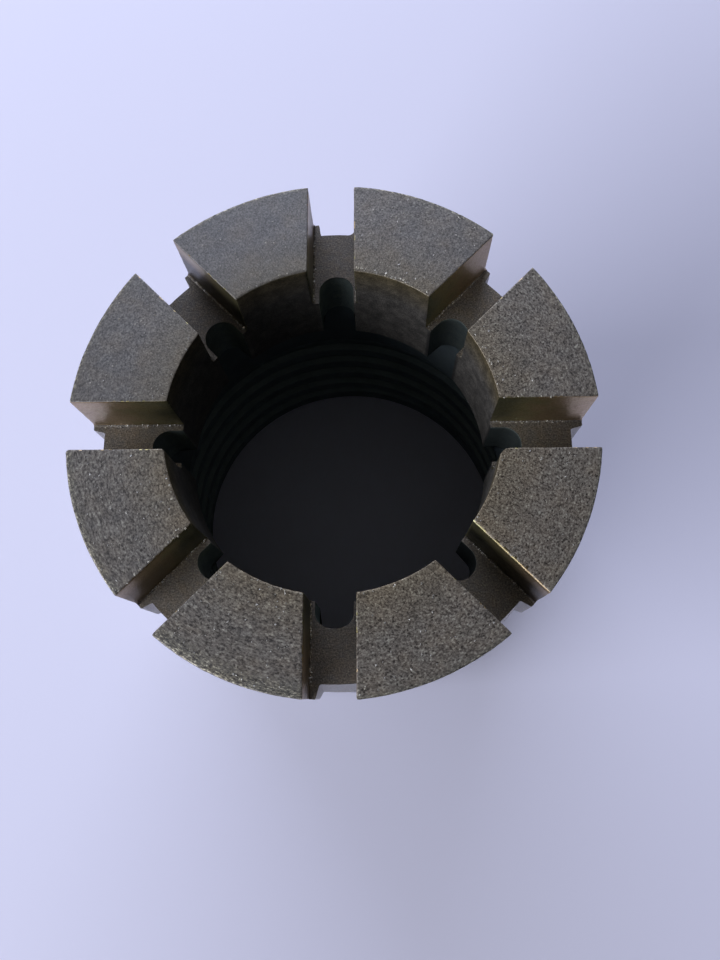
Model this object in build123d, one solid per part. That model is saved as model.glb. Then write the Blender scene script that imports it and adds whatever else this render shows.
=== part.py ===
from build123d import *
import os
from math import radians, tan

# Impregnated diamond core bit for an N-size wireline core barrel.
# Two pieces: a turned steel blank, and the crown of diamond-bearing matrix that is moulded onto its end.
# +Z runs up the bit's axis from the back end to the kerf face. The origin is the centre of the back end.
# All sizes are in millimetres. The waterways lie on the X and Y axes and half-way between them.

# Whole bit
bit_length = 80.0  # back end to kerf face
gauge_diameter = 75.3  # outside of the crown, which is the hole that it cuts
core_diameter = 47.6  # inside of the crown, which is the core that it leaves

# Crown: the moulded matrix
crown_height = 21.5  # from the end of the blank to the kerf face
edge_break = 0.3  # radius on the kerf face's two circular edges
waterway_count = 8
waterway_width = 7.3
waterway_depth = 11.0  # kerf face to the floor of a waterway
groove_depth = 1.85  # junk groove, from the gauge inwards
groove_floor_width = 4.4
groove_mouth_width = 5.8  # at the gauge, wider than its floor because the sides flare
groove_corner_radius = 0.8
flute_width = 5.4  # inner flute, with a half-round back
flute_depth = 4.4  # from the core side outwards; the blank is bored to the same circle

# Blank: the turned steel tube that carries the crown
gauge_step = 1.15  # how far the shank stands inside the gauge, all round
box_wall = 4.1  # shank's outside to the root of the box thread
box_depth = 40.0  # length of the threaded box, from the back end
shoulder_angle = 45.0  # slope of the shoulder at the box's inner end, to the axis
back_chamfer = 0.8  # outside corner of the back end
mouth_chamfer = 0.6  # lead into the box

# Spigot of the blank, buried in the matrix
spigot_height = 7.0
spigot_step = 1.9  # shank's outside to the spigot's outside
lining = 1.4  # matrix between the lifter bore's circle and the spigot

# Places that follow from the sizes above
gauge_radius = gauge_diameter / 2
core_radius = core_diameter / 2
shank_radius = gauge_radius - gauge_step
box_radius = shank_radius - box_wall
lifter_radius = core_radius + flute_depth
shoulder_length = (box_radius - lifter_radius) / tan(radians(shoulder_angle))
crown_base = bit_length - crown_height
waterway_floor = bit_length - waterway_depth
spigot_outer_radius = shank_radius - spigot_step
spigot_inner_radius = lifter_radius + lining
spigot_top = crown_base + spigot_height


def turned(profile):
    """A solid of revolution about Z, from a closed list of (radius, height) corners."""
    with BuildPart() as solid:
        with BuildSketch(Plane.XZ):
            with BuildLine():
                Polyline(*profile, close=True)
            make_face()
        revolve(axis=Axis.Z)
    return solid.part


def steel_blank():
    """Shank with its threaded box, lifter bore and the spigot that the crown is moulded on."""
    return turned([
        (box_radius + mouth_chamfer, 0),
        (shank_radius - back_chamfer, 0),
        (shank_radius, back_chamfer),
        (shank_radius, crown_base),
        (spigot_outer_radius, crown_base),
        (spigot_outer_radius, spigot_top),
        (spigot_inner_radius, spigot_top),
        (spigot_inner_radius, crown_base),
        (lifter_radius, crown_base),
        (lifter_radius, box_depth + shoulder_length),
        (box_radius, box_depth),
        (box_radius, mouth_chamfer),
    ])


def crown_ring():
    """Plain matrix ring: gauge bevelled down to the shank, kerf face edges broken, spigot's seat in its end."""
    with BuildPart() as ring:
        with BuildSketch(Plane.XZ) as section:
            with BuildLine():
                Polyline(
                    (core_radius, crown_base),
                    (shank_radius, crown_base),
                    (gauge_radius, crown_base + gauge_step),
                    (gauge_radius, bit_length),
                    (core_radius, bit_length),
                    close=True,
                )
            make_face()
            fillet(section.vertices().group_by(Axis.Y)[-1], edge_break)
            with BuildLine():
                Polyline(
                    (spigot_inner_radius, crown_base),
                    (spigot_outer_radius, crown_base),
                    (spigot_outer_radius, spigot_top),
                    (spigot_inner_radius, spigot_top),
                    close=True,
                )
            make_face(mode=Mode.SUBTRACT)
        revolve(axis=Axis.Z)
    return ring.part


def waterway():
    """Cutter for one waterway along +X: open to the kerf face, the core and the gauge."""
    return Box(
        gauge_diameter, waterway_width, waterway_depth,
        align=(Align.MIN, Align.CENTER, Align.MIN),
    ).moved(Location((0, 0, waterway_floor)))


def junk_groove():
    """Cutter for one groove down the gauge along +X: flat floor, rounded corners, flared sides."""
    flare = (groove_mouth_width - groove_floor_width) / 2 / groove_depth
    beyond = gauge_step  # the cutter passes the gauge by this much
    half_floor = groove_floor_width / 2
    half_outer = half_floor + flare * (groove_depth + beyond)
    floor_radius = gauge_radius - groove_depth
    with BuildPart() as cutter:
        with BuildSketch(Plane.XY.offset(crown_base)) as section:
            with BuildLine():
                Polyline(
                    (floor_radius, -half_floor),
                    (gauge_radius + beyond, -half_outer),
                    (gauge_radius + beyond, half_outer),
                    (floor_radius, half_floor),
                    close=True,
                )
            make_face()
            fillet(section.vertices().group_by(Axis.X)[0], groove_corner_radius)
        extrude(amount=crown_height)
    return cutter.part


def inner_flute():
    """Cutter for one flute down the core side along +X: straight cheeks and a half-round back."""
    round_centre = lifter_radius - flute_width / 2
    with BuildPart() as cutter:
        with BuildSketch(Plane.XY.offset(crown_base)):
            with Locations((round_centre, 0)):
                Circle(flute_width / 2)
            Rectangle(round_centre, flute_width, align=(Align.MIN, Align.CENTER))
        extrude(amount=crown_height)
    return cutter.part


def matrix_crown():
    """Crown of diamond-bearing matrix: eight kerf segments standing on one grooved and fluted ring."""
    cutters = [waterway(), junk_groove(), inner_flute()]
    places = PolarLocations(0, waterway_count)
    return crown_ring() - [place * cutter for place in places for cutter in cutters]


os.makedirs("parts", exist_ok=True)
for name, piece in (("steel_blank", steel_blank()), ("matrix_crown", matrix_crown())):
    piece.label = name
    export_step(piece, f"parts/{name}.step")
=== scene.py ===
import math
import random

import bmesh
import bpy
from mathutils import Matrix, Vector, noise


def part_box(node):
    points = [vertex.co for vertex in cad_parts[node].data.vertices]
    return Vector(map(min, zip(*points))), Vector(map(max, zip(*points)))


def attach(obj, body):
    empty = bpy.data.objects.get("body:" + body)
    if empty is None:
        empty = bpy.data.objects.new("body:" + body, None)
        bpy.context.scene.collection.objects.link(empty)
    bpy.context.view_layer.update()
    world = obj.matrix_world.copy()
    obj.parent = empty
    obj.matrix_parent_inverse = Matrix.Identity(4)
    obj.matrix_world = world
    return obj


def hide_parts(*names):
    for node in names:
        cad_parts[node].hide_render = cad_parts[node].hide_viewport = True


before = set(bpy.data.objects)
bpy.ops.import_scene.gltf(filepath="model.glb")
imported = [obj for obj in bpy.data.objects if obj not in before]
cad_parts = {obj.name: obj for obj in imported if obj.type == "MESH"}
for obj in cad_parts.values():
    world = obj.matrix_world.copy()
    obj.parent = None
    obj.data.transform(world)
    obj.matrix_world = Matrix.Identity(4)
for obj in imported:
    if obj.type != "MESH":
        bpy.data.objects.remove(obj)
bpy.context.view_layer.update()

scene = bpy.context.scene

MM = 0.001  # one millimetre in the scene's metres
NEAR = 0.01 * MM  # places closer than this count as one

# ---------------------------------------------------------------- sizes of the bit, in metres

crown_low, crown_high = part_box("matrix_crown")
KERF_Z = crown_high.z  # kerf face
CROWN_BASE = crown_low.z  # end of the blank, where the moulded matrix starts
GAUGE_RADIUS = 37.65 * MM  # outside of the crown
CORE_RADIUS = 23.8 * MM  # inside of the crown
SHANK_RADIUS = 36.5 * MM
LIFTER_RADIUS = 28.2 * MM  # bore behind the crown, flush with the backs of the flutes
BOX_RADIUS = 32.4 * MM  # root of the box thread
SPIGOT_RADII = (29.6 * MM, 34.6 * MM)  # seat of the blank's spigot in the crown
SPIGOT_TOP = CROWN_BASE + 7.0 * MM

WATERWAYS = 8
PITCH_ANGLE = 2 * math.pi / WATERWAYS
WATERWAY_WIDTH = 7.3 * MM
WATERWAY_DEPTH = 11.0 * MM
FLOOR_Z = KERF_Z - WATERWAY_DEPTH
GROOVE_DEPTH = 1.85 * MM
GROOVE_FLOOR_WIDTH = 4.4 * MM
GROOVE_MOUTH_WIDTH = 5.8 * MM
FLUTE_WIDTH = 5.4 * MM
EDGE_BREAK = 0.15 * MM  # least rounding of the kerf face's edges
GAUGE_STEP = 1.15 * MM  # bevel from the gauge down to the shank
BOX_DEPTH = 40.0 * MM
BACK_CHAMFER = 0.8 * MM
MOUTH_CHAMFER = 0.6 * MM
THREAD_PITCH = 6.35 * MM
THREAD_HEIGHT = 1.1 * MM

# ---------------------------------------------------------------- small helpers


def edit(piece, kind):
    """Put one piece alone into edit mode, with nothing selected."""
    if bpy.context.object and bpy.context.object.mode != "OBJECT":
        bpy.ops.object.mode_set(mode="OBJECT")
    bpy.ops.object.select_all(action="DESELECT")
    piece.select_set(True)
    bpy.context.view_layer.objects.active = piece
    bpy.ops.object.mode_set(mode="EDIT")
    bpy.ops.mesh.select_mode(type=kind)
    bpy.ops.mesh.select_all(action="DESELECT")


def pick(piece, elements, test):
    """Select the vertices, edges or faces that pass a test. The piece is in edit mode."""
    shape = bmesh.from_edit_mesh(piece.data)
    for element in getattr(shape, elements):
        element.select_set(bool(test(element)))
    shape.select_flush_mode()
    bmesh.update_edit_mesh(piece.data)


def place_picked(piece, place):
    """Move each selected vertex to place(its position). The piece is in edit mode."""
    shape = bmesh.from_edit_mesh(piece.data)
    for vertex in shape.verts:
        if vertex.select:
            vertex.co = place(vertex.co)
    bmesh.update_edit_mesh(piece.data)


def middle(element):
    """Middle of a bmesh edge or face."""
    if isinstance(element, bmesh.types.BMFace):
        return element.calc_center_median()
    return (element.verts[0].co + element.verts[1].co) / 2


def clamped(share):
    """A share, kept between 0 and 1."""
    return min(1, max(0, share))


def segment_at(spot):
    """Which kerf segment a place belongs to. Segment n starts at waterway n."""
    return int(math.atan2(spot.y, spot.x) % (2 * math.pi) / PITCH_ANGLE)


def waterway_frame(spot):
    """Distance along the nearest waterway's axis and to one side of it, and which waterway that is.

    Waterways are numbered anticlockwise from the X axis."""
    angle = math.atan2(spot.y, spot.x)
    which = round(angle / PITCH_ANGLE)
    angle -= which * PITCH_ANGLE
    radius = math.hypot(spot.x, spot.y)
    return radius * math.cos(angle), radius * math.sin(angle), which % WATERWAYS


def by_waterway(along, side, which, height):
    """The place at a distance along a waterway's axis and to one side of it."""
    turn = which * PITCH_ANGLE
    return Vector((along * math.cos(turn) - side * math.sin(turn),
                   along * math.sin(turn) + side * math.cos(turn), height))


# ---------------------------------------------------------------- materials

def colour(code):
    """An sRGB hex colour as a linear one."""
    shares = [int(code[place:place + 2], 16) / 255 for place in (1, 3, 5)]
    return (*(share / 12.92 if share <= 0.04045 else ((share + 0.055) / 1.055) ** 2.4 for share in shares), 1)


def add(tree, kind, inputs=None, stops=None, **settings):
    """Add a node with its settings. An input takes a value, or the socket it is linked to."""
    node = tree.nodes.new("ShaderNode" + kind)
    for name, value in settings.items():
        setattr(node, name, value)
    for name, value in (inputs or {}).items():
        if isinstance(value, bpy.types.NodeSocket):
            tree.links.new(value, node.inputs[name])
        else:
            node.inputs[name].default_value = value
    if stops:
        while len(node.color_ramp.elements) < len(stops):
            node.color_ramp.elements.new(1)
        for element, (place, code) in zip(node.color_ramp.elements, stops):
            element.position = place
            element.color = colour(code)
    return node


def material(name):
    """A new material with an empty node tree."""
    new = bpy.data.materials.new(name)
    new.use_nodes = True
    new.node_tree.nodes.clear()
    return new, new.node_tree


GRAIN = 0.25 * MM  # carbide and diamond grains as they show in the matrix


def run_in_matrix():
    """Kerf face: copper-alloy matrix with carbide and diamond grains, worn flat by running.

    Mid greys a grain apart, painted dark as the shade in the pits where a grain was pulled out, and short
    rings round the axis where it has cut. Each segment has its own share of rings and coarse grains, where a
    low share is partly painted sheen, and its outer edge is scuffed."""
    new, tree = material("run_in_diamond_matrix")
    place = add(tree, "TexCoord").outputs["Object"]
    marks = add(tree, "Attribute", attribute_name="running_marks").outputs["Fac"]
    coarse = add(tree, "Attribute", attribute_name="coarseness_and_painted_sheen").outputs["Fac"]
    scuffed = add(tree, "Attribute", attribute_name="scuffed_edge").outputs["Fac"]
    parts = add(tree, "SeparateXYZ", {"Vector": place}).outputs
    flat = add(tree, "CombineXYZ", {"X": parts["X"], "Y": parts["Y"]})
    radius = add(tree, "VectorMath", {0: flat.outputs[0]}, operation="LENGTH").outputs["Value"]
    angle = add(tree, "Math", {0: parts["Y"], 1: parts["X"]}, operation="ARCTAN2").outputs[0]
    # rings: a grain or two wide across, about 2 mm long round the axis
    ring_place = add(tree, "CombineXYZ", {
        "X": add(tree, "Math", {0: radius, 1: 1 / (0.4 * MM)}, operation="MULTIPLY").outputs[0],
        "Y": add(tree, "Math", {0: angle, 1: GAUGE_RADIUS / (2.0 * MM)}, operation="MULTIPLY").outputs[0],
        "Z": add(tree, "Math", {0: parts["Z"], 1: 1 / MM}, operation="MULTIPLY").outputs[0]})
    rings = add(tree, "TexNoise", {
        "Vector": ring_place.outputs[0], "Scale": 1.0, "Detail": 1.5, "Roughness": 0.5})
    # grains: drawn out round the axis, most where the marks are strongest
    drawn_out = add(tree, "Math", {0: marks, 1: 4.5, 2: 1.0}, operation="MULTIPLY_ADD")
    arc = add(tree, "Math", {0: angle, 1: GAUGE_RADIUS}, operation="MULTIPLY")
    shortened = add(tree, "Math", {0: arc.outputs[0], 1: drawn_out.outputs[0]}, operation="DIVIDE")
    grain_place = add(tree, "CombineXYZ", {"X": radius, "Y": shortened.outputs[0], "Z": parts["Z"]})
    grains = add(tree, "TexNoise", {
        "Vector": grain_place.outputs[0], "Scale": 1 / GRAIN, "Detail": 2.5, "Roughness": 0.7})
    cells = add(tree, "TexVoronoi", {"Vector": grain_place.outputs[0], "Scale": 1 / (0.8 * GRAIN)})
    chances = add(tree, "SeparateColor", {"Color": cells.outputs["Color"]}).outputs
    speckle = add(tree, "MapRange", {"Value": chances[0], "To Min": 0.36, "To Max": 0.64})
    grainy = add(tree, "MixRGB", {0: 0.4, 1: grains.outputs[0], 2: speckle.outputs[0]})
    centred = add(tree, "Math", {0: rings.outputs[0], 1: 0.5}, operation="SUBTRACT")
    surface = add(tree, "Math", {0: centred.outputs[0], 1: marks, 2: grainy.outputs[0]},
                  operation="MULTIPLY_ADD")
    fine_tone = add(tree, "ValToRGB", {"Fac": surface.outputs[0]}, stops=(
        (0.36, "#58585a"), (0.5, "#6b6b6d"), (0.64, "#7f7f80")))
    coarse_tone = add(tree, "ValToRGB", {"Fac": surface.outputs[0]}, stops=(
        (0.36, "#34302b"), (0.44, "#605a53"), (0.52, "#7f786f"), (0.6, "#969288"), (0.69, "#c4c2b3")))
    # fine and coarse tones mixed by the coarse share; the fine tone's flat bluish grey is partly painted
    # sheen
    tone = add(tree, "MixRGB", {0: coarse, 1: fine_tone.outputs[0], 2: coarse_tone.outputs[0]})
    # scuffed outer edge: finer streaks than the rings, 0.25 mm across
    streak_place = add(tree, "VectorMath", {0: ring_place.outputs[0], 1: (1.6, 3.2, 1)}, operation="MULTIPLY")
    streaks = add(tree, "TexNoise", {
        "Vector": streak_place.outputs[0], "Scale": 1.0, "Detail": 3.0, "Roughness": 0.8})
    scuff_tone = add(tree, "ValToRGB", {"Fac": streaks.outputs[0]}, stops=(
        (0.34, "#39383b"), (0.47, "#66645f"), (0.57, "#8d897d"), (0.7, "#e0decb")))
    scuff_share = add(tree, "Math", {0: scuffed, 1: 1.4}, operation="MULTIPLY", use_clamp=True)
    scuffs = add(tree, "MixRGB", {0: scuff_share.outputs[0], 1: tone.outputs[0], 2: scuff_tone.outputs[0]})
    # painted shade of the pits of pulled-out grains, which the bump leaves flat, darkest where the face is
    # coarse
    wander = add(tree, "VectorMath", {0: grains.outputs["Color"], 1: (0.5 * MM,) * 3, 2: place},
                 operation="MULTIPLY_ADD")
    pits = add(tree, "TexVoronoi", {"Vector": wander.outputs[0], "Scale": 1 / (1.9 * GRAIN)})
    pit_chance = add(tree, "SeparateColor", {"Color": pits.outputs["Color"]}).outputs[0]
    pit_size = add(tree, "MapRange", {"Value": pit_chance, "From Min": 0.4, "To Max": 0.36})
    in_pit = add(tree, "Math", {0: pits.outputs["Distance"], 1: pit_size.outputs[0]}, operation="LESS_THAN")
    in_coarse = add(tree, "Math", {0: in_pit.outputs[0], 1: coarse}, operation="MULTIPLY")
    pit_shaded = add(tree, "MixRGB", {0: in_coarse.outputs[0], 1: scuffs.outputs[0], 2: colour("#3a3632")})
    # faint clouds 3 mm wide, and a warmer tint towards the core
    cloud = add(tree, "TexNoise", {"Vector": place, "Scale": 1 / (3.0 * MM), "Detail": 3.0})
    stain = add(tree, "ValToRGB", {"Fac": cloud.outputs[0]}, stops=(
        (0.3, "#b3b6b9"), (0.5, "#bcbcbc"), (0.7, "#c6c2bc")))
    cloudy = add(tree, "MixRGB", {0: 0.8, 1: pit_shaded.outputs[0], 2: stain.outputs[0]}, blend_type="SOFT_LIGHT")
    inner = add(tree, "MapRange", {
        "Value": radius, "From Min": CORE_RADIUS, "From Max": CORE_RADIUS + 7 * MM,
        "To Min": 0.5, "To Max": 0.0})
    warmer = add(tree, "MixRGB", {0: inner.outputs[0], 1: cloudy.outputs[0], 2: colour("#bdb08c")},
                 blend_type="SOFT_LIGHT")
    depth = add(tree, "MapRange", {"Value": coarse, "To Min": 0.3, "To Max": 1.0})
    height = add(tree, "Math", {0: surface.outputs[0], 1: depth.outputs[0]}, operation="MULTIPLY")
    bump = add(tree, "Bump", {"Strength": 0.6, "Distance": 0.1 * MM, "Height": height.outputs[0]})
    rough = add(tree, "MapRange", {"Value": chances[1], "To Min": 0.45, "To Max": 0.65})
    shader = add(tree, "BsdfPrincipled", {
        "Base Color": warmer.outputs[0], "Metallic": 0.7, "Roughness": rough.outputs[0],
        "Normal": bump.outputs[0]})
    add(tree, "OutputMaterial", {"Surface": shader.outputs[0]})
    return new


def moulded_matrix():
    """Side wall of a waterway: the same alloy cast against graphite, smooth, with an oxidised skin.

    The skin is olive near the core and turns to a lighter, pinker bronze towards the gauge: partly its
    colour, partly painted reflection of the pale floor. Its near black is partly oxidation, partly painted
    shade."""
    new, tree = material("moulded_bronze_skin")
    place = add(tree, "TexCoord").outputs["Object"]
    flat = add(tree, "VectorMath", {0: place, 1: (1, 1, 0)}, operation="MULTIPLY")
    radius = add(tree, "VectorMath", {0: flat.outputs[0]}, operation="LENGTH").outputs["Value"]
    cloud = add(tree, "TexNoise", {"Vector": place, "Scale": 1 / (2.5 * MM), "Detail": 4.0})
    # olive towards the core, lighter pinkish bronze towards the gauge: partly the skin's colour, partly
    # painted reflection of the pale floor seen by the walls' outer ends
    out = add(tree, "MapRange", {"Value": radius, "From Min": CORE_RADIUS, "From Max": GAUGE_RADIUS})
    share = add(tree, "Math", {0: cloud.outputs[0], 1: out.outputs[0]}, operation="ADD")
    half = add(tree, "Math", {0: share.outputs[0], 1: 0.5}, operation="MULTIPLY")
    tone = add(tree, "ValToRGB", {"Fac": half.outputs[0]}, stops=(
        (0.2, "#8c8a6c"), (0.4, "#a0986f"), (0.55, "#ab9876"), (0.75, "#b39e84")))
    fine = add(tree, "TexNoise", {"Vector": place, "Scale": 1 / (0.25 * MM), "Detail": 3.0})
    speck = add(tree, "ValToRGB", {"Fac": fine.outputs[0]}, stops=(
        (0.35, "#8c8c8c"), (0.5, "#bcbcbc"), (0.65, "#dedede")))
    specked = add(tree, "MixRGB", {0: 0.6, 1: tone.outputs[0], 2: speck.outputs[0]}, blend_type="SOFT_LIGHT")
    # painted shade: where the share is high the skin goes to near black, partly oxidation and partly shade
    oxide_and_painted_shade = add(tree, "Attribute", attribute_name="oxide_and_painted_shade").outputs["Fac"]
    darkened = add(tree, "MixRGB", {0: oxide_and_painted_shade, 1: specked.outputs[0], 2: colour("#161812")})
    bump = add(tree, "Bump", {"Strength": 0.6, "Distance": 0.05 * MM, "Height": fine.outputs[0]})
    rough = add(tree, "MapRange", {"Value": cloud.outputs[0], "To Min": 0.3, "To Max": 0.42})
    shader = add(tree, "BsdfPrincipled", {
        "Base Color": darkened.outputs[0], "Metallic": 0.96, "Roughness": rough.outputs[0],
        "Normal": bump.outputs[0]})
    add(tree, "OutputMaterial", {"Surface": shader.outputs[0]})
    return new


def cast_matrix():
    """Waterway floors and the crown's underside: matrix as it leaves the mould, rough, dark brownish grey."""
    new, tree = material("cast_matrix")
    place = add(tree, "TexCoord").outputs["Object"]
    grains = add(tree, "TexNoise", {"Vector": place, "Scale": 1 / GRAIN, "Detail": 2.5, "Roughness": 0.7})
    cloud = add(tree, "TexNoise", {"Vector": place, "Scale": 1 / (1.6 * MM), "Detail": 4.0, "Roughness": 0.6})
    tone = add(tree, "ValToRGB", {"Fac": grains.outputs[0]}, stops=(
        (0.32, "#4c4946"), (0.45, "#65615d"), (0.58, "#7b7670"), (0.72, "#9c968b")))
    stain = add(tree, "ValToRGB", {"Fac": cloud.outputs[0]}, stops=((0.3, "#b0b4b8"), (0.7, "#c8c0b2")))
    cloudy = add(tree, "MixRGB", {0: 0.9, 1: tone.outputs[0], 2: stain.outputs[0]}, blend_type="SOFT_LIGHT")
    height = add(tree, "Math", {0: grains.outputs[0], 1: cloud.outputs[0]}, operation="ADD")
    # painted shade: the floors darken towards blue-black by the same share, partly oxidation and partly shade
    oxide_and_painted_shade = add(tree, "Attribute", attribute_name="oxide_and_painted_shade").outputs["Fac"]
    darkened = add(tree, "MixRGB", {0: oxide_and_painted_shade, 1: cloudy.outputs[0], 2: colour("#141620")})
    bump = add(tree, "Bump", {"Strength": 0.4, "Distance": 0.1 * MM, "Height": height.outputs[0]})
    shader = add(tree, "BsdfPrincipled", {
        "Base Color": darkened.outputs[0], "Metallic": 0.6, "Roughness": 0.55, "Normal": bump.outputs[0]})
    add(tree, "OutputMaterial", {"Surface": shader.outputs[0]})
    return new


def gauge_matrix():
    """Outside of the crown and its junk grooves: cast against graphite, brushed bright, grey like pewter."""
    new, tree = material("brushed_gauge_matrix")
    place = add(tree, "TexCoord").outputs["Object"]
    grains = add(tree, "TexNoise", {"Vector": place, "Scale": 1 / GRAIN, "Detail": 2.5, "Roughness": 0.7})
    cloud = add(tree, "TexNoise", {"Vector": place, "Scale": 1 / (2.5 * MM), "Detail": 4.0, "Roughness": 0.6})
    tone = add(tree, "ValToRGB", {"Fac": grains.outputs[0]}, stops=(
        (0.34, "#656361"), (0.48, "#82807c"), (0.62, "#9b9892")))
    stain = add(tree, "ValToRGB", {"Fac": cloud.outputs[0]}, stops=((0.3, "#a9acb0"), (0.7, "#c6bfb2")))
    cloudy = add(tree, "MixRGB", {0: 0.8, 1: tone.outputs[0], 2: stain.outputs[0]}, blend_type="SOFT_LIGHT")
    bump = add(tree, "Bump", {"Strength": 0.3, "Distance": 0.05 * MM, "Height": grains.outputs[0]})
    rough = add(tree, "MapRange", {"Value": cloud.outputs[0], "To Min": 0.25, "To Max": 0.45})
    shader = add(tree, "BsdfPrincipled", {
        "Base Color": cloudy.outputs[0], "Metallic": 0.8, "Roughness": rough.outputs[0],
        "Normal": bump.outputs[0]})
    add(tree, "OutputMaterial", {"Surface": shader.outputs[0]})
    return new


def core_side_matrix(name, dark, middle_tone, light):
    """Matrix cast against a core: smoother than the rest, tinted by heat, and olive by the kerf face."""
    new, tree = material(name)
    place = add(tree, "TexCoord").outputs["Object"]
    cloud = add(tree, "TexNoise", {"Vector": place, "Scale": 1 / (1.8 * MM), "Detail": 5.0, "Roughness": 0.6})
    grains = add(tree, "TexNoise", {"Vector": place, "Scale": 1 / GRAIN, "Detail": 2.5, "Roughness": 0.7})
    both = add(tree, "MixRGB", {0: 0.55, 1: cloud.outputs[0], 2: grains.outputs[0]})
    tone = add(tree, "ValToRGB", {"Fac": both.outputs[0]}, stops=(
        (0.38, dark), (0.5, middle_tone), (0.62, light)))
    height = add(tree, "SeparateXYZ", {"Vector": place}).outputs["Z"]
    top = add(tree, "MapRange", {
        "Value": height, "From Min": KERF_Z - 7 * MM, "From Max": KERF_Z, "To Min": 0.0, "To Max": 0.85})
    olive = add(tree, "MixRGB", {0: top.outputs[0], 1: tone.outputs[0], 2: colour("#cdbb84")},
                blend_type="SOFT_LIGHT")
    # painted shade: core sides and flutes darken towards blue-black by the same share, partly oxidation and
    # partly shade
    oxide_and_painted_shade = add(tree, "Attribute", attribute_name="oxide_and_painted_shade").outputs["Fac"]
    darkened = add(tree, "MixRGB", {0: oxide_and_painted_shade, 1: olive.outputs[0], 2: colour("#131619")})
    bump = add(tree, "Bump", {"Strength": 0.5, "Distance": 0.06 * MM, "Height": grains.outputs[0]})
    shader = add(tree, "BsdfPrincipled", {
        "Base Color": darkened.outputs[0], "Metallic": 0.6, "Roughness": 0.5, "Normal": bump.outputs[0]})
    add(tree, "OutputMaterial", {"Surface": shader.outputs[0]})
    return new


def turned_steel():
    """Alloy steel tube turned on a lathe: fine rings round the axis, which draw its lights out along it.

    They are 0.35 mm apart, a little coarser than a lathe's feed, so that they show."""
    new, tree = material("turned_alloy_steel")
    place = add(tree, "TexCoord").outputs["Object"]
    rings = add(tree, "Mapping", {"Vector": place, "Scale": (60, 60, 1 / (0.35 * MM))})
    feed = add(tree, "TexNoise", {"Vector": rings.outputs[0], "Scale": 1.0, "Detail": 2.0})
    cloud = add(tree, "TexNoise", {"Vector": place, "Scale": 1 / (9 * MM), "Detail": 4.0})
    both = add(tree, "MixRGB", {0: 0.15, 1: feed.outputs[0], 2: cloud.outputs[0]})
    tone = add(tree, "ValToRGB", {"Fac": both.outputs[0]}, stops=(
        (0.3, "#838488"), (0.5, "#97989b"), (0.7, "#a8a9aa")))
    bump = add(tree, "Bump", {"Strength": 0.4, "Distance": 0.02 * MM, "Height": feed.outputs[0]})
    rough = add(tree, "MapRange", {"Value": feed.outputs[0], "To Min": 0.3, "To Max": 0.42})
    shader = add(tree, "BsdfPrincipled", {
        "Base Color": tone.outputs[0], "Metallic": 1.0, "Roughness": rough.outputs[0],
        "Normal": bump.outputs[0]})
    add(tree, "OutputMaterial", {"Surface": shader.outputs[0]})
    return new


def oiled_bore(name, dark, light):
    """Bore of the blank: turned steel, phosphated and oiled, dark bluish grey and rather dull."""
    new, tree = material(name)
    place = add(tree, "TexCoord").outputs["Object"]
    cloud = add(tree, "TexNoise", {"Vector": place, "Scale": 1 / (4 * MM), "Detail": 4.0})
    tone = add(tree, "ValToRGB", {"Fac": cloud.outputs[0]}, stops=((0.3, dark), (0.7, light)))
    fine = add(tree, "TexNoise", {"Vector": place, "Scale": 1 / (0.3 * MM), "Detail": 2.0})
    bump = add(tree, "Bump", {"Strength": 0.4, "Distance": 0.03 * MM, "Height": fine.outputs[0]})
    shader = add(tree, "BsdfPrincipled", {
        "Base Color": tone.outputs[0], "Metallic": 0.7, "Roughness": 0.6, "Normal": bump.outputs[0]})
    add(tree, "OutputMaterial", {"Surface": shader.outputs[0]})
    return new


def exposed_diamond(name, dark, light, rough):
    """Synthetic diamond and carbide grit that stands out of the matrix: small olive-grey crystals.

    Worn dull on the kerf face, and still sharp and bright at edges and at the feet of the walls."""
    new, tree = material(name)
    place = add(tree, "TexCoord").outputs["Object"]
    each = add(tree, "TexNoise", {"Vector": place, "Scale": 1 / (1.1 * MM)})
    tone = add(tree, "ValToRGB", {"Fac": each.outputs[0]}, stops=((0.35, dark), (0.65, light)))
    shader = add(tree, "BsdfPrincipled", {"Base Color": tone.outputs[0], "Roughness": rough, "IOR": 2.42})
    add(tree, "OutputMaterial", {"Surface": shader.outputs[0]})
    return new


# ---------------------------------------------------------------- crown

LEDGE_STEPS = 3  # strip of floor between a waterway's wall and its groove or flute
CHEEK_STEPS = 5  # side of a groove or flute
BACK_STEPS = 18  # floor of a groove, half-round back of a flute
SEGMENT_STEPS = 60  # along a kerf segment's arc
RADIAL_STEPS = 36  # core side to gauge
SEGMENT_LAYERS = 20  # height of a kerf segment
RING_LAYERS = 12  # height of the ring under it, down to the gauge's bevel
FLOOR_STEPS = 2 * LEDGE_STEPS + 2 * CHEEK_STEPS + BACK_STEPS
KERF_FACE, WATERWAY_WALL, CAST_SKIN, CORE_SIDE, FLUTE, GAUGE = range(6)  # the crown's materials


def stretch(start, end, steps, place):
    """Points from start towards end, without the end itself."""
    return [place(start + (end - start) * step / steps) for step in range(steps)]


def across(radius):
    """A function that gives the point of a circle at a distance to one side of the X axis."""
    return lambda side: Vector((math.sqrt(radius**2 - side**2), side))


def polar(radius):
    """A function that gives the point of a circle at an angle."""
    return lambda angle: Vector((radius * math.cos(angle), radius * math.sin(angle)))


def groove_depth(side, depth, mouths, floors):
    """Depth of a junk groove at a distance to one side of its middle. It eases from the gauge to its floor.

    Its mouth and its floor have a half-width on each side. One as wide as the waterway has a round foot."""
    mouth, floor = mouths[side > 0], floors[side > 0]
    share = clamped((mouth - abs(side)) / (mouth - floor))
    if mouth > WATERWAY_WIDTH / 2 - 0.05 * MM:
        return depth * math.sqrt(1 - (1 - share) ** 2)
    return depth * (1 - math.cos(math.pi * share)) / 2


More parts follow.
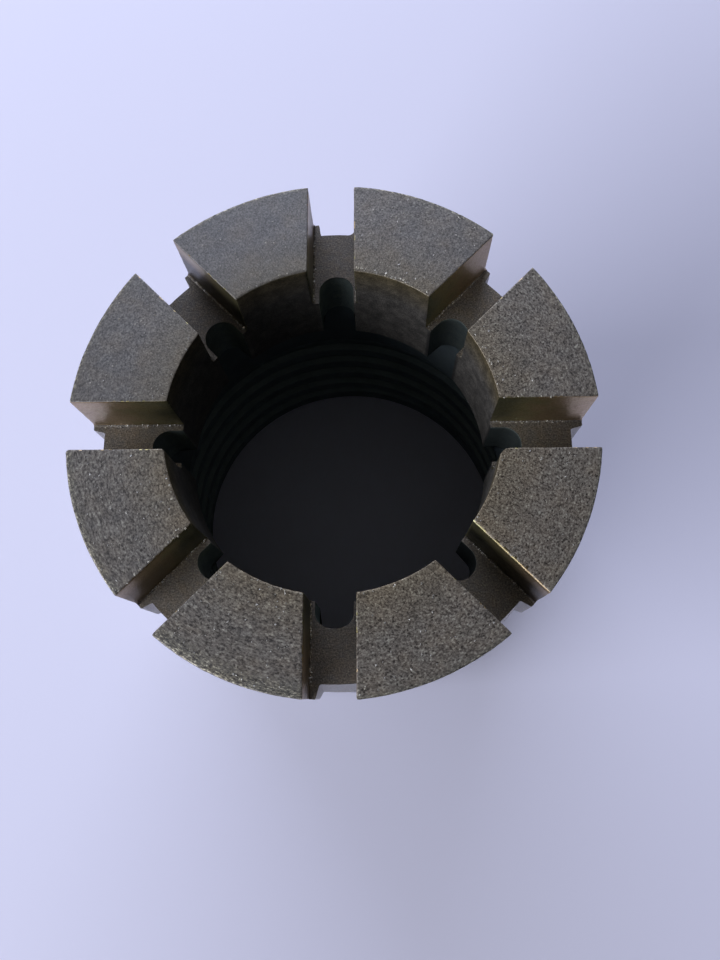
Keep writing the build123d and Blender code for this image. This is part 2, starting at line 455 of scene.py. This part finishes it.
IDEAL_GROOVE = GROOVE_DEPTH, (GROOVE_MOUTH_WIDTH / 2,) * 2, (GROOVE_FLOOR_WIDTH / 2,) * 2


def groove_side(side):
    """Point of the ideal junk groove's profile."""
    return across(GAUGE_RADIUS)(side) - Vector((groove_depth(side, *IDEAL_GROOVE), 0))


def pitch_outlines():
    """Core-side and gauge-side outlines of one pitch: the waterway on the X axis, then the next segment."""
    wall = WATERWAY_WIDTH / 2
    flute = FLUTE_WIDTH / 2
    mouth, floor = GROOVE_MOUTH_WIDTH / 2, GROOVE_FLOOR_WIDTH / 2
    back = LIFTER_RADIUS - flute
    core_x = across(CORE_RADIUS)(flute).x

    core_side = stretch(-wall, -flute, LEDGE_STEPS, across(CORE_RADIUS))
    core_side += stretch(core_x, back, CHEEK_STEPS, lambda x: Vector((x, -flute)))
    core_side += stretch(-math.pi / 2, math.pi / 2, BACK_STEPS,
                         lambda angle: Vector((back, 0)) + polar(flute)(angle))
    core_side += stretch(back, core_x, CHEEK_STEPS, lambda x: Vector((x, flute)))
    core_side += stretch(flute, wall, LEDGE_STEPS, across(CORE_RADIUS))

    gauge_side = stretch(-wall, -mouth, LEDGE_STEPS, across(GAUGE_RADIUS))
    gauge_side += stretch(-mouth, -floor, CHEEK_STEPS, groove_side)
    gauge_side += stretch(-floor, floor, BACK_STEPS, groove_side)
    gauge_side += stretch(floor, mouth, CHEEK_STEPS, groove_side)
    gauge_side += stretch(mouth, wall, LEDGE_STEPS, across(GAUGE_RADIUS))

    for outline, radius in ((core_side, CORE_RADIUS), (gauge_side, GAUGE_RADIUS)):
        start = math.asin(wall / radius)
        outline += stretch(start, PITCH_ANGLE - start, SEGMENT_STEPS, polar(radius))
        outline.append(polar(radius)(PITCH_ANGLE - start))
    return core_side, gauge_side


def within(radius):
    """A function that brings a point that lies outside a radius in to it."""
    return lambda spot: Vector((*(spot.xy * min(1, radius / spot.xy.length)), spot.z))


def crown_pitch():
    """One pitch of the crown: its plan at the waterway's floor, the ring below and the segment above."""
    columns = FLOOR_STEPS + SEGMENT_STEPS
    bpy.ops.mesh.primitive_grid_add(x_subdivisions=columns, y_subdivisions=RADIAL_STEPS, size=1)
    crown = bpy.context.object
    crown.name = "crown_matrix"
    core_side, gauge_side = pitch_outlines()
    for index, vertex in enumerate(crown.data.vertices):
        row, column = divmod(index, columns + 1)
        spot = core_side[column].lerp(gauge_side[column], row / RADIAL_STEPS)
        vertex.co = (spot.x, spot.y, FLOOR_Z)
    gauge_edge = range(RADIAL_STEPS * (columns + 1), (RADIAL_STEPS + 1) * (columns + 1))
    core_edge = range(columns + 1)

    # Ring: both outlines go down to the end of the blank, and the gauge is bevelled there
    layer = (FLOOR_Z - CROWN_BASE - GAUGE_STEP) / RING_LAYERS
    for rim in (core_edge, gauge_edge):
        edit(crown, "EDGE")
        pick(crown, "edges", lambda edge: all(vertex.index in rim for vertex in edge.verts))
        for _ in range(RING_LAYERS):
            bpy.ops.mesh.extrude_edges_move(TRANSFORM_OT_translate={"value": (0, 0, -layer)})
        bpy.ops.mesh.extrude_edges_move(TRANSFORM_OT_translate={"value": (0, 0, -GAUGE_STEP)})
        place_picked(crown, within(SHANK_RADIUS))
    # the gauge side's lowest edge is still selected: from it go the bottom face and the spigot's seat
    for radius, height in (
        (SPIGOT_RADII[1], CROWN_BASE),
        (SPIGOT_RADII[1], SPIGOT_TOP),
        (SPIGOT_RADII[0], SPIGOT_TOP),
        (SPIGOT_RADII[0], CROWN_BASE),
    ):
        bpy.ops.mesh.extrude_edges_move()
        place_picked(crown, lambda spot: Vector((*(spot.xy.normalized() * radius), height)))
    # the seat's inner rim and the core side's lowest edge close the bottom
    seat_rim = {edge.index for edge in bmesh.from_edit_mesh(crown.data).edges if edge.select}
    pick(crown, "edges", lambda edge: edge.index in seat_rim or (
        edge.is_boundary and edge.verts[0].co.z == edge.verts[1].co.z
        and middle(edge).z < CROWN_BASE + layer / 2 and middle(edge).xy.length < SPIGOT_RADII[0] - MM / 2))
    bpy.ops.mesh.bridge_edge_loops()

    # Segment: its part of the plan goes up to the kerf face, whose edges are rounded
    bpy.ops.mesh.select_mode(type="FACE")
    grid = (columns + 1) * (RADIAL_STEPS + 1)
    pick(crown, "faces", lambda face: all(
        vertex.index < grid and vertex.index % (columns + 1) >= FLOOR_STEPS for vertex in face.verts))
    for _ in range(SEGMENT_LAYERS):
        bpy.ops.mesh.extrude_region_move(
            TRANSFORM_OT_translate={"value": (0, 0, (KERF_Z - FLOOR_Z) / SEGMENT_LAYERS)})
    bpy.ops.mesh.select_mode(type="EDGE")
    top = KERF_Z - EDGE_BREAK / 2
    pick(crown, "edges", lambda edge: all(vertex.co.z > top for vertex in edge.verts) and any(
        middle(face).z < top for face in edge.link_faces))
    bpy.ops.mesh.bevel(offset=EDGE_BREAK, segments=3, affect="EDGES")
    return crown


# The mould's small faults, in millimetres. A wall is named by its waterway and its side of it: side 1 is the
# one where the next segment anticlockwise starts.
# Negative: the wall stands out, and its waterway is wider
WALL_STANDS_IN = {(0, -1): -0.04, (1, -1): -0.25, (2, -1): 0.55, (2, 1): -0.15, (3, -1): 0.10, (3, 1): -0.2,
                  (4, 1): 0.30, (6, 1): 0.25}
WALL_FOOT = {(2, -1): 0.5}  # radius at the foot of a wall, 0.3 elsewhere
FLUTE_WIDER = {(2, -1): 0.5, (6, 1): 0.2, (6, -1): 0.3}
FLUTE_STANDS_IN = (0, 0, 0, 0, 0, 0.4, 0.65, 0)  # the back of each waterway's flute, at the waterway's floor
# Junk grooves: depth, then mouth and floor corner on side -1, floor corner and mouth on side 1
GROOVES = (
    (1.85, 2.90, 2.20, 2.20, 2.90), (1.80, 2.95, 2.25, 2.15, 2.85), (1.95, 3.65, 2.05, 2.50, 2.85),
    (1.85, 2.90, 2.20, 2.10, 2.85), (1.85, 2.95, 2.30, 2.20, 2.90), (1.80, 2.90, 2.15, 2.15, 2.80),
    (2.20, 2.95, 2.05, 3.35, 3.64), (1.85, 3.10, 2.40, 2.15, 2.85))

# The wear of running, in millimetres: how round the edges and corners of the kerf segments are, by wall or by
# segment, and how ragged each segment's edges are, as a share of that
WALL_EDGE = {  # 0.15 elsewhere
    (7, 1): 0.6, (0, 1): 0.2, (4, -1): 0.25, (5, 1): 0.22, (5, -1): 0.2, (6, -1): 0.2}
GAUGE_EDGE = (0.12, 0.12, 0.1, 0.12, 0.22, 0.32, 0.2, 0.15)
CORE_EDGE = (0.15, 0.18, 0.25, 0.15, 0.2, 0.25, 0.2, 0.15)
OUTER_CORNER = {(1, 1): 0.45, (4, 1): 0.6, (5, 1): 0.35}  # 0.2 elsewhere
INNER_CORNER = {(0, -1): 1.3, (4, 1): 0.5, (2, 1): 0.35}  # 0.2 elsewhere
RAGGED = (0.3, 0.3, 0.2, 0.3, 1.0, 1.3, 0.7, 0.4)
SCUFFED = (0.5, 0.5, 0.5, 0.5, 1.2, 2.6, 0.6, 0.5)  # width of the band along the gauge that ran hardest
KERF_LOSS = 0.08 * MM  # the run-in face lies this far under its highest stones

GROOVE_REACH = 4 * MM  # a junk groove's faults fade out this far into its waterway's floor
FLOOR_MIDDLE = CORE_RADIUS + 8 * MM  # and are gone inside this radius
FLUTE_REACH = 5 * MM  # a flute's faults stay whole this far, and fade out over as much again

# Shares of each kerf face's look that are rings and coarse grains. A low coarse share, on the segments behind
# the axis, gives a flatter, bluer grey: partly a finer face, partly painted sheen from the light behind
RUNNING_MARKS = (0.12, 0.05, 0.03, 0.08, 0.2, 0.24, 0.13, 0.1)
COARSENESS_AND_SHEEN = (0.76, 0.33, 0.08, 0.25, 0.6, 0.72, 0.88, 1.0)

# How dark each wall, core side, flute and floor is painted, as a share: partly oxidation left by the mould,
# partly painted shade where that face lies in shadow
DARK_WALL = {(7, 1): 0.85, (5, -1): 0.6, (4, -1): 0.2, (6, -1): 0.6, (3, -1): 0.9, (2, 1): 0.6}
DARK_CORE = (0, 0.05, 0.25, 0.2, 0.1, 0, 0, 0)  # by segment
DARK_FLUTE = (0.7, 0.65, 0, 0, 0, 0, 0, 0.85)  # by waterway
DARK_FLOOR = (0, 0.08, 0.38, 0.4, 0, 0, 0.3, 0.1)  # by waterway


def rounded(aside, down, radius):
    """The two distances of a point from the faces at an edge, after that edge is given a radius."""
    if aside >= radius or down >= radius:
        return aside, down
    away = math.hypot(aside - radius, down - radius)
    if away <= radius:
        return aside, down
    return radius + (aside - radius) * radius / away, radius + (down - radius) * radius / away


def cast_groove(along, side, which, height):
    """Where a point of the ideal junk groove lies along its waterway, after the mould's faults."""
    depth, *corners = (size * MM for size in GROOVES[which])
    wanted = groove_depth(side, depth, (corners[0], corners[3]), (corners[1], corners[2]))
    there = groove_depth(side, *IDEAL_GROOVE)
    outline = across(GAUGE_RADIUS)(side).x - there
    up = clamped((height - CROWN_BASE) / (FLOOR_Z - CROWN_BASE))
    wanted *= up + (1 - up) * (GAUGE_RADIUS - SHANK_RADIUS) / depth  # it runs out into the shank
    share = clamped(1 - (outline - along) / GROOVE_REACH)
    return along - (wanted - there) * share * share * (3 - 2 * share)


def worn_segment(radius, aside, depth, segment, wall, ragged):
    """Radius, distance from the wall and depth of a kerf segment's point, after its edges are worn round."""
    inner, outer = radius - CORE_RADIUS, GAUGE_RADIUS - radius
    aside, depth = rounded(max(0, aside), depth, MM * WALL_EDGE.get(wall, 0.15) * (1 + 0.5 * ragged))
    new_outer, depth = rounded(outer, depth, MM * GAUGE_EDGE[segment] * (1 + ragged))
    new_inner, depth = rounded(inner, depth, MM * CORE_EDGE[segment] * (1 + ragged))
    aside, new_outer = rounded(aside, new_outer, MM * OUTER_CORNER.get(wall, 0.2))
    aside, new_inner = rounded(aside, new_inner, MM * INNER_CORNER.get(wall, 0.2))
    return radius + (new_inner - inner - new_outer + outer), aside, depth


def relief(spot, normal):
    """Where a point of the ideal crown lies on the cast and run-in one."""
    along, side, which = waterway_frame(spot)
    radius = spot.xy.length
    around = 0.1 * MM
    if spot.z < SPIGOT_TOP + around and SPIGOT_RADII[0] - around < radius < SPIGOT_RADII[1] + around:
        return spot  # the spigot's seat fits the blank
    hand = 1 if side > 0 else -1
    wall = which, hand
    half = WATERWAY_WIDTH / 2
    segment = segment_at(spot)
    ragged = RAGGED[segment] * noise.noise(spot / (0.9 * MM))
    depth = KERF_Z - spot.z
    aside = abs(side) - half

    if aside < NEAR and radius > FLOOR_MIDDLE:
        along = cast_groove(along, side, which, spot.z)

    # flute of this waterway
    if abs(side) < FLUTE_WIDTH / 2 + NEAR and radius < LIFTER_RADIUS + NEAR and spot.z < FLOOR_Z + NEAR:
        share = max(0, (along - CORE_RADIUS) / (LIFTER_RADIUS - CORE_RADIUS))
        height = max(0, (spot.z - CROWN_BASE) / (FLOOR_Z - CROWN_BASE))
        along -= MM * FLUTE_STANDS_IN[which] * share * height
    if aside < NEAR:
        share = min(1, -min(0, aside) / (half - FLUTE_WIDTH / 2))
        share *= clamped(2 - (along - CORE_RADIUS) / FLUTE_REACH)
        aside += MM * FLUTE_WIDER.get(wall, 0) * share * min(1, abs(side) / MM)

    # foot of the wall
    foot = MM * WALL_FOOT.get(wall, 0.3)
    if abs(spot.z - FLOOR_Z) < NEAR and -foot < aside < 0:
        depth -= foot - math.sqrt(foot**2 - (foot + aside)**2)
    elif spot.z > FLOOR_Z - NEAR and aside > -NEAR:
        depth -= foot * (depth / WATERWAY_DEPTH) ** 2 * math.exp(-max(0, aside) / (0.5 * MM))

    if aside > -NEAR and spot.z > FLOOR_Z + 0.1 * MM:
        radius, aside, depth = worn_segment(radius, aside, depth, segment, wall, ragged)
        along = math.sqrt(radius**2 - (aside + half)**2)
    side = hand * (aside + half)

    # the wall's place: all of it stands in or out, and its surroundings follow less and less
    share = abs(side) / half if abs(side) < half else math.exp((half - abs(side)) / (2 * MM))
    side -= hand * MM * WALL_STANDS_IN.get(wall, 0) * share
    moved = by_waterway(along, side, which, KERF_Z - depth)

    # cast surface: waves 4 mm and 0.8 mm long, and more of them by the wall's foot and the kerf face's edges
    if moved.z > CROWN_BASE + 0.2 * MM:
        push = 0.03 * MM * noise.noise(spot / (4 * MM)) + 0.02 * MM * noise.noise(spot / (0.8 * MM))
        near = math.exp(-(abs(aside) + abs(spot.z - FLOOR_Z)) / (0.35 * MM))
        push += 0.12 * MM * near * (0.3 + noise.noise(spot / (0.6 * MM)))
        if spot.z > KERF_Z - EDGE_BREAK:
            push += 0.03 * MM * ragged
        moved += normal * push
    if depth < 1.5 * MM:
        moved.z = min(moved.z - KERF_LOSS * (1 - depth / (1.5 * MM)), KERF_Z - 0.03 * MM)
    limit = min(GAUGE_RADIUS, SHANK_RADIUS + max(0, moved.z - CROWN_BASE))
    moved = within(limit)(moved)
    return Vector([max(low, min(high, size)) for low, size, high in zip(crown_low, moved, crown_high)])


def finish_of(face):
    """Which of the crown's materials a face has, by its place.

    The skin of a wall reaches over its worn rim here and there, and all along the roundest one."""
    spot = middle(face)
    _, side, which = waterway_frame(spot)
    radius = spot.xy.length
    beyond = abs(side) - WATERWAY_WIDTH / 2
    rim = beyond < 0.9 * EDGE_BREAK and noise.noise(spot / (0.5 * MM)) > 0.36
    if which == 7 and side > 0:
        rim = beyond < 0.25 * MM + 0.5 * MM * noise.noise(spot / (0.7 * MM))
    if spot.z > FLOOR_Z + 0.1 * MM and (rim or beyond < 0.1 * EDGE_BREAK):
        return WATERWAY_WALL
    if spot.z > KERF_Z - 0.7 * EDGE_BREAK:
        return KERF_FACE
    if radius < LIFTER_RADIUS + 0.2 * MM and (abs(face.normal.z) < 0.5 or radius < CORE_RADIUS + 0.1 * MM):
        return FLUTE if spot.z < FLOOR_Z and radius > CORE_RADIUS + 0.05 * MM else CORE_SIDE
    if abs(face.normal.z) < 0.8 and radius > SPIGOT_RADII[1] + 0.2 * MM:
        return GAUGE
    return CAST_SKIN


def oxide_and_shade_at(spot):
    """How dark a place of the cast crown is painted, as a share: partly oxidation, partly painted shade. A
    wall is least dark 1 to 2 mm down, and darker towards its waterway's floor.
    """
    _, side, which = waterway_frame(spot)
    radius = spot.xy.length
    if (spot.z < FLOOR_Z - 0.2 * MM and radius < LIFTER_RADIUS + 0.5 * MM
            and abs(side) < FLUTE_WIDTH / 2 + 0.6 * MM):
        return DARK_FLUTE[which]
    if abs(spot.z - FLOOR_Z) < 0.5 * MM and abs(side) < WATERWAY_WIDTH / 2 - 0.1 * MM:
        return DARK_FLOOR[which]
    if radius < CORE_RADIUS + 0.3 * MM:
        return DARK_CORE[segment_at(spot)]
    depth = (KERF_Z - spot.z) / MM
    fade = max(0.8 - 0.4 * depth, min(1, max(0.35, depth / 5)))
    return fade * DARK_WALL.get((which, 1 if side > 0 else -1), 0)


def scuffed_at(spot):
    """How hard a place of the kerf face ran, as a share: all at the gauge, none past the segment's band."""
    return max(0, 1 - (GAUGE_RADIUS - spot.xy.length) / (MM * SCUFFED[segment_at(spot)]))


crown = crown_pitch()
bpy.ops.mesh.select_all(action="SELECT")
bpy.ops.mesh.spin(steps=WATERWAYS - 1, dupli=True, angle=2 * math.pi - PITCH_ANGLE,
                  center=(0, 0, 0), axis=(0, 0, 1))
bpy.ops.mesh.select_all(action="SELECT")
bpy.ops.mesh.remove_doubles(threshold=0.0003 * MM)  # less than the narrowest faces, at the flutes' cheeks
bpy.ops.mesh.normals_make_consistent(inside=False)
shape = bmesh.from_edit_mesh(crown.data)
for face in shape.faces:
    face.material_index = finish_of(face)
bmesh.update_edit_mesh(crown.data)
bpy.ops.object.mode_set(mode="OBJECT")
places = [relief(vertex.co.copy(), vertex.normal.copy()) for vertex in crown.data.vertices]
for vertex, place in zip(crown.data.vertices, places):
    vertex.co = place
for name, value_at in (("oxide_and_painted_shade", oxide_and_shade_at), ("scuffed_edge", scuffed_at),
                       ("running_marks", lambda spot: RUNNING_MARKS[segment_at(spot)]),
                       ("coarseness_and_painted_sheen", lambda spot: COARSENESS_AND_SHEEN[segment_at(spot)])):
    values = crown.data.attributes.new(name, "FLOAT", "POINT").data
    values.foreach_set("value", [value_at(place) for place in places])
for finish in (run_in_matrix(), moulded_matrix(), cast_matrix(),
               core_side_matrix("core_side_matrix", "#373634", "#504e4b", "#6d6a65"),
               core_side_matrix("heat_tinted_flute", "#566162", "#687473", "#788279"), gauge_matrix()):
    crown.data.materials.append(finish)
bpy.ops.object.shade_smooth_by_angle(angle=math.radians(40))
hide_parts("matrix_crown")
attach(crown, "root")

# ---------------------------------------------------------------- grit

STONES = (25, 50, 20, 40, 55, 55, 30, 25)  # that show on each segment's kerf face
CORE_EDGE_STONES = (9, 26, 5, 0, 4, 4, 4, 3)  # more of them by each segment's core edge
RIM_STONES = ((5, -1, 20), (6, 1, 6), (0, 1, 6), (5, 1, 6))  # on worn walls' rims: waterway, side, count
FOOT_STONES = 90  # carbide grains sintered along the foot of each wall
SHARP_FEET = 0.3  # share of those that are sharp

bpy.ops.object.select_all(action="DESELECT")
bpy.ops.mesh.primitive_cube_add(size=1)
stone = bpy.context.object
edit(stone, "VERT")
bpy.ops.mesh.select_all(action="SELECT")
bpy.ops.mesh.bevel(offset=0.42, affect="VERTICES")
bpy.ops.object.mode_set(mode="OBJECT")
corners = [vertex.co.copy() for vertex in stone.data.vertices]
sides = [tuple(face.vertices) for face in stone.data.polygons]
bpy.data.objects.remove(stone)

UP = Vector((0, 0, 1))
HIGHEST_STONE = KERF_Z - 0.004 * MM
chance = random.Random(7)
points, faces, sharp_faces = [], [], []


def set_stone(spot, size, sharp=False):
    """Add one crystal of that size at a place, turned at random and kept under the highest stones."""
    around = chance.uniform(0, 6.28)
    turn = Matrix.Rotation(around, 3, Vector([chance.gauss(0, 1) for _ in range(3)]).normalized())
    shape = Vector([size * chance.uniform(0.75, 1.1) for _ in range(3)])
    placed = [turn @ (corner * shape) + spot for corner in corners]
    over = max(0, max(point.z for point in placed) - HIGHEST_STONE)
    faces.extend(tuple(index + len(points) for index in side) for side in sides)
    points.extend(point - Vector((0, 0, over)) for point in placed)
    sharp_faces.extend([sharp] * len(sides))


for segment in range(WATERWAYS):
    for count in range(STONES[segment] + CORE_EDGE_STONES[segment]):
        by_core = count >= STONES[segment]
        reach = CORE_RADIUS + 0.7 * MM if by_core else GAUGE_RADIUS - 0.3 * MM
        radius = math.sqrt(chance.uniform((CORE_RADIUS + 0.2 * MM)**2, reach**2))
        start = math.asin((WATERWAY_WIDTH / 2 + 0.3 * MM) / radius)
        angle = segment * PITCH_ANGLE + chance.uniform(start, PITCH_ANGLE - start)
        size = chance.uniform(0.2, 0.36) * MM
        spot = relief(Vector((radius * math.cos(angle), radius * math.sin(angle), KERF_Z)), UP)
        set_stone(spot - UP * size * chance.uniform(0.2, 0.42), size, by_core)
for which, hand, count in RIM_STONES:
    for _ in range(count):
        along = chance.uniform(CORE_RADIUS + 0.5 * MM, GAUGE_RADIUS - 0.6 * MM)
        side = hand * (WATERWAY_WIDTH / 2 + abs(chance.gauss(0.1, 0.5)) * MM)
        spot = relief(by_waterway(along, side, which, KERF_Z), UP)
        size = chance.uniform(0.2, 0.32) * MM
        set_stone(spot - UP * size * 0.3, size, True)
for which in range(WATERWAYS):
    for hand in (-1, 1):
        for _ in range(FOOT_STONES):
            along = chance.uniform(CORE_RADIUS, GAUGE_RADIUS - 2 * MM)
            side = hand * (WATERWAY_WIDTH / 2 - abs(chance.gauss(0, 0.12 * MM)))
            spot = relief(by_waterway(along, side, which, FLOOR_Z), UP)
            set_stone(spot, chance.uniform(0.12, 0.26) * MM, chance.random() < SHARP_FEET)

grit = bpy.data.objects.new("diamond_grit", bpy.data.meshes.new("diamond_grit"))
grit.data.from_pydata(points, [], faces)
scene.collection.objects.link(grit)
grit.data.materials.append(exposed_diamond("worn_diamond_grit", "#47443e", "#6e6a60", 0.5))
grit.data.materials.append(exposed_diamond("sharp_diamond_grit", "#5d5a52", "#97927f", 0.42))
grit.data.polygons.foreach_set("material_index", [int(sharp) for sharp in sharp_faces])
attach(grit, "root")

# ---------------------------------------------------------------- steel blank


def turned(name, profile, steps):
    """A solid of revolution about Z, spun from a closed list of (radius, height) corners."""
    bpy.ops.object.select_all(action="DESELECT")
    bpy.ops.mesh.primitive_circle_add(vertices=len(profile), radius=BOX_RADIUS)
    piece = bpy.context.object
    piece.name = name
    for vertex, (radius, height) in zip(piece.data.vertices, profile):
        vertex.co = (radius, 0, height)
    edit(piece, "VERT")
    bpy.ops.mesh.select_all(action="SELECT")
    bpy.ops.mesh.spin(steps=steps, angle=2 * math.pi, center=(0, 0, 0), axis=(0, 0, 1))
    bpy.ops.mesh.select_all(action="SELECT")
    bpy.ops.mesh.remove_doubles(threshold=0.001 * MM)
    bpy.ops.mesh.normals_make_consistent(inside=False)
    bpy.ops.object.mode_set(mode="OBJECT")
    return piece


SHOULDER_TOP = BOX_DEPTH + BOX_RADIUS - LIFTER_RADIUS
EASE = 0.15 * MM  # sharp corners of the blank, stoned off
SHANK, BORE, BOX = range(3)  # the blank's materials
blank = turned("steel_blank_turned", [
    (BOX_RADIUS + MOUTH_CHAMFER, 0),
    (SHANK_RADIUS - BACK_CHAMFER, 0),
    (SHANK_RADIUS, BACK_CHAMFER),
    (SHANK_RADIUS, CROWN_BASE - EASE),
    (SHANK_RADIUS - EASE, CROWN_BASE),
    (SPIGOT_RADII[1], CROWN_BASE),
    (SPIGOT_RADII[1], SPIGOT_TOP),
    (SPIGOT_RADII[0], SPIGOT_TOP),
    (SPIGOT_RADII[0], CROWN_BASE),
    (LIFTER_RADIUS, CROWN_BASE),
    (LIFTER_RADIUS, SHOULDER_TOP + EASE),
    (LIFTER_RADIUS + EASE, SHOULDER_TOP - EASE),
    (BOX_RADIUS, BOX_DEPTH),
    (BOX_RADIUS, MOUTH_CHAMFER),
], 240)
# the box thread's copy of the bore finish is painted lighter than the bore above it: painted light in the
# deep box, which the lamps barely reach
for finish in (turned_steel(), oiled_bore("phosphated_bore", "#4f5b61", "#5c676b"),
               oiled_bore("phosphated_box_thread_painted_lighter", "#69777b", "#768386")):
    blank.data.materials.append(finish)
for face in blank.data.polygons:
    inside = face.center.z > 0.1 * MM and face.center.xy.length < LIFTER_RADIUS + 5 * MM
    face.material_index = (BORE if face.center.z > BOX_DEPTH else BOX) if inside else SHANK
bpy.ops.object.shade_smooth_by_angle(angle=math.radians(20))
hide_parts("steel_blank")
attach(blank, "root")

# Box thread: one right-hand ridge that rises from the box's wall, runs round and sinks into it again
THREAD_TURNS = 5.5
THREAD_START = 3.6 * MM  # middle of the ridge where it starts
THREAD_FOOT, THREAD_CREST = 1.75 * MM, 1.3 * MM  # half-widths of the ridge
THREAD_SUNK = 0.15 * MM  # how far its foot lies inside the blank
STEPS_A_TURN = 72
bpy.ops.object.select_all(action="DESELECT")
bpy.ops.mesh.primitive_plane_add(size=1)
thread = bpy.context.object
thread.name = "box_thread"
crest, sunk = BOX_RADIUS - THREAD_HEIGHT, BOX_RADIUS + THREAD_SUNK
section = ((sunk, -THREAD_FOOT), (crest, -THREAD_CREST), (sunk, THREAD_FOOT), (crest, THREAD_CREST))
for vertex, (radius, height) in zip(thread.data.vertices, section):
    vertex.co = (radius, 0, THREAD_START + height)
edit(thread, "FACE")
bpy.ops.mesh.select_all(action="SELECT")
bpy.ops.mesh.delete(type="ONLY_FACE")
bpy.ops.object.mode_set(mode="OBJECT")
screw = thread.modifiers.new("turns", "SCREW")
screw.axis = "Z"
screw.angle = THREAD_TURNS * 2 * math.pi
screw.screw_offset = THREAD_TURNS * THREAD_PITCH
screw.steps = screw.render_steps = int(THREAD_TURNS * STEPS_A_TURN)
screw.use_smooth_shade = True
bpy.ops.object.modifier_apply(modifier="turns")
last = len(thread.data.vertices) // len(section) - 1
for index, vertex in enumerate(thread.data.vertices):
    step = index // len(section)
    # a third of a turn from its end the ridge is at full height, and it never quite vanishes
    rise = min(1, 0.04 + 3 * min(step, last - step) / STEPS_A_TURN)
    radius = vertex.co.xy.length
    vertex.co.xy *= (sunk - (sunk - radius) * rise) / radius
edit(thread, "EDGE")
bpy.ops.mesh.select_non_manifold()
bpy.ops.mesh.fill()
bpy.ops.mesh.select_all(action="SELECT")
bpy.ops.mesh.normals_make_consistent(inside=False)
bpy.ops.object.mode_set(mode="OBJECT")
thread.data.materials.append(blank.data.materials[BOX])
bpy.ops.object.shade_smooth_by_angle(angle=math.radians(20))
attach(thread, "root")

# ---------------------------------------------------------------- floor, light and camera

bpy.ops.object.select_all(action="DESELECT")
bpy.ops.mesh.primitive_grid_add(x_subdivisions=8, y_subdivisions=8, size=3)
floor = bpy.context.object
floor.name = "paper_floor"
paper, tree = material("pale_paper")
shader = add(tree, "BsdfPrincipled", {
    "Base Color": colour("#d9daef"), "Roughness": 0.9, "Specular IOR Level": 0.2})
add(tree, "OutputMaterial", {"Surface": shader.outputs[0]})
floor.data.materials.append(paper)

scene.view_settings.view_transform = "Standard"

# Studio: pale round the horizon and dark overhead, brighter to the left of the bit and behind it
world = bpy.data.worlds.new("studio")
scene.world = world
world.use_nodes = True
tree = world.node_tree
tree.nodes.clear()
place = add(tree, "TexCoord").outputs["Generated"]
up = add(tree, "SeparateXYZ", {"Vector": place}).outputs["Z"]
sky = add(tree, "ValToRGB", {"Fac": up}, stops=(
    (0.0, "#d8dae6"), (0.35, "#9a9ca8"), (0.75, "#444341"), (1.0, "#716e69")))
side = add(tree, "VectorMath", {0: place, 1: (-0.7, 0.7, 0)}, operation="DOT_PRODUCT")
share = add(tree, "MapRange", {
    "Value": side.outputs["Value"], "From Min": -1.0, "From Max": 1.0, "To Min": 0.25, "To Max": 1.2})
glow = add(tree, "Background", {"Color": sky.outputs[0], "Strength": share.outputs[0]})
add(tree, "OutputWorld", {"Surface": glow.outputs[0]})


BIT_MIDDLE = Vector((0, 0, 40 * MM))


def lamp(name, place, width, height, power, code):
    """A rectangular soft lamp aimed at the bit."""
    bpy.ops.object.light_add(type="AREA", location=place)
    light = bpy.context.object
    light.name = name
    light.data.shape = "RECTANGLE"
    light.data.size = width
    light.data.size_y = height
    light.data.energy = power
    light.data.color = colour(code)[:3]
    light.rotation_euler = (BIT_MIDDLE - Vector(place)).to_track_quat("-Z", "Y").to_euler()


lamp("window", (-0.88, -0.54, 0.46), 1.0, 0.6, 17.2, "#f6f7ff")
lamp("skylight", (-0.1, 0.55, 0.38), 0.6, 0.4, 3.4, "#e8edff")

# Camera: over the kerf face and a little in front of it
CAMERA_DISTANCE = 117.4 * MM
CAMERA_AIM = Vector((3.93 * MM, -8.15 * MM, KERF_Z))
FOCAL_LENGTH = 852.3 / 960  # as a share of the render's longer side
azimuth, elevation, roll = map(math.radians, (6.05, 75.92, -6.38))
back = Vector((math.sin(azimuth) * math.cos(elevation), -math.cos(azimuth) * math.cos(elevation),
               math.sin(elevation)))
right = Vector((math.cos(azimuth), math.sin(azimuth), 0))
upward = back.cross(right)
tilted_right = right * math.cos(roll) + upward * math.sin(roll)
tilted_up = upward * math.cos(roll) - right * math.sin(roll)
bpy.ops.object.camera_add()
camera = bpy.context.object
camera.name = "camera"
camera.matrix_world = Matrix.Translation(CAMERA_AIM + back * CAMERA_DISTANCE) @ Matrix(
    (tilted_right, tilted_up, back)).transposed().to_4x4()
camera.data.sensor_width = 36
camera.data.lens = FOCAL_LENGTH * camera.data.sensor_width
camera.data.clip_start = 1 * MM
scene.camera = camera
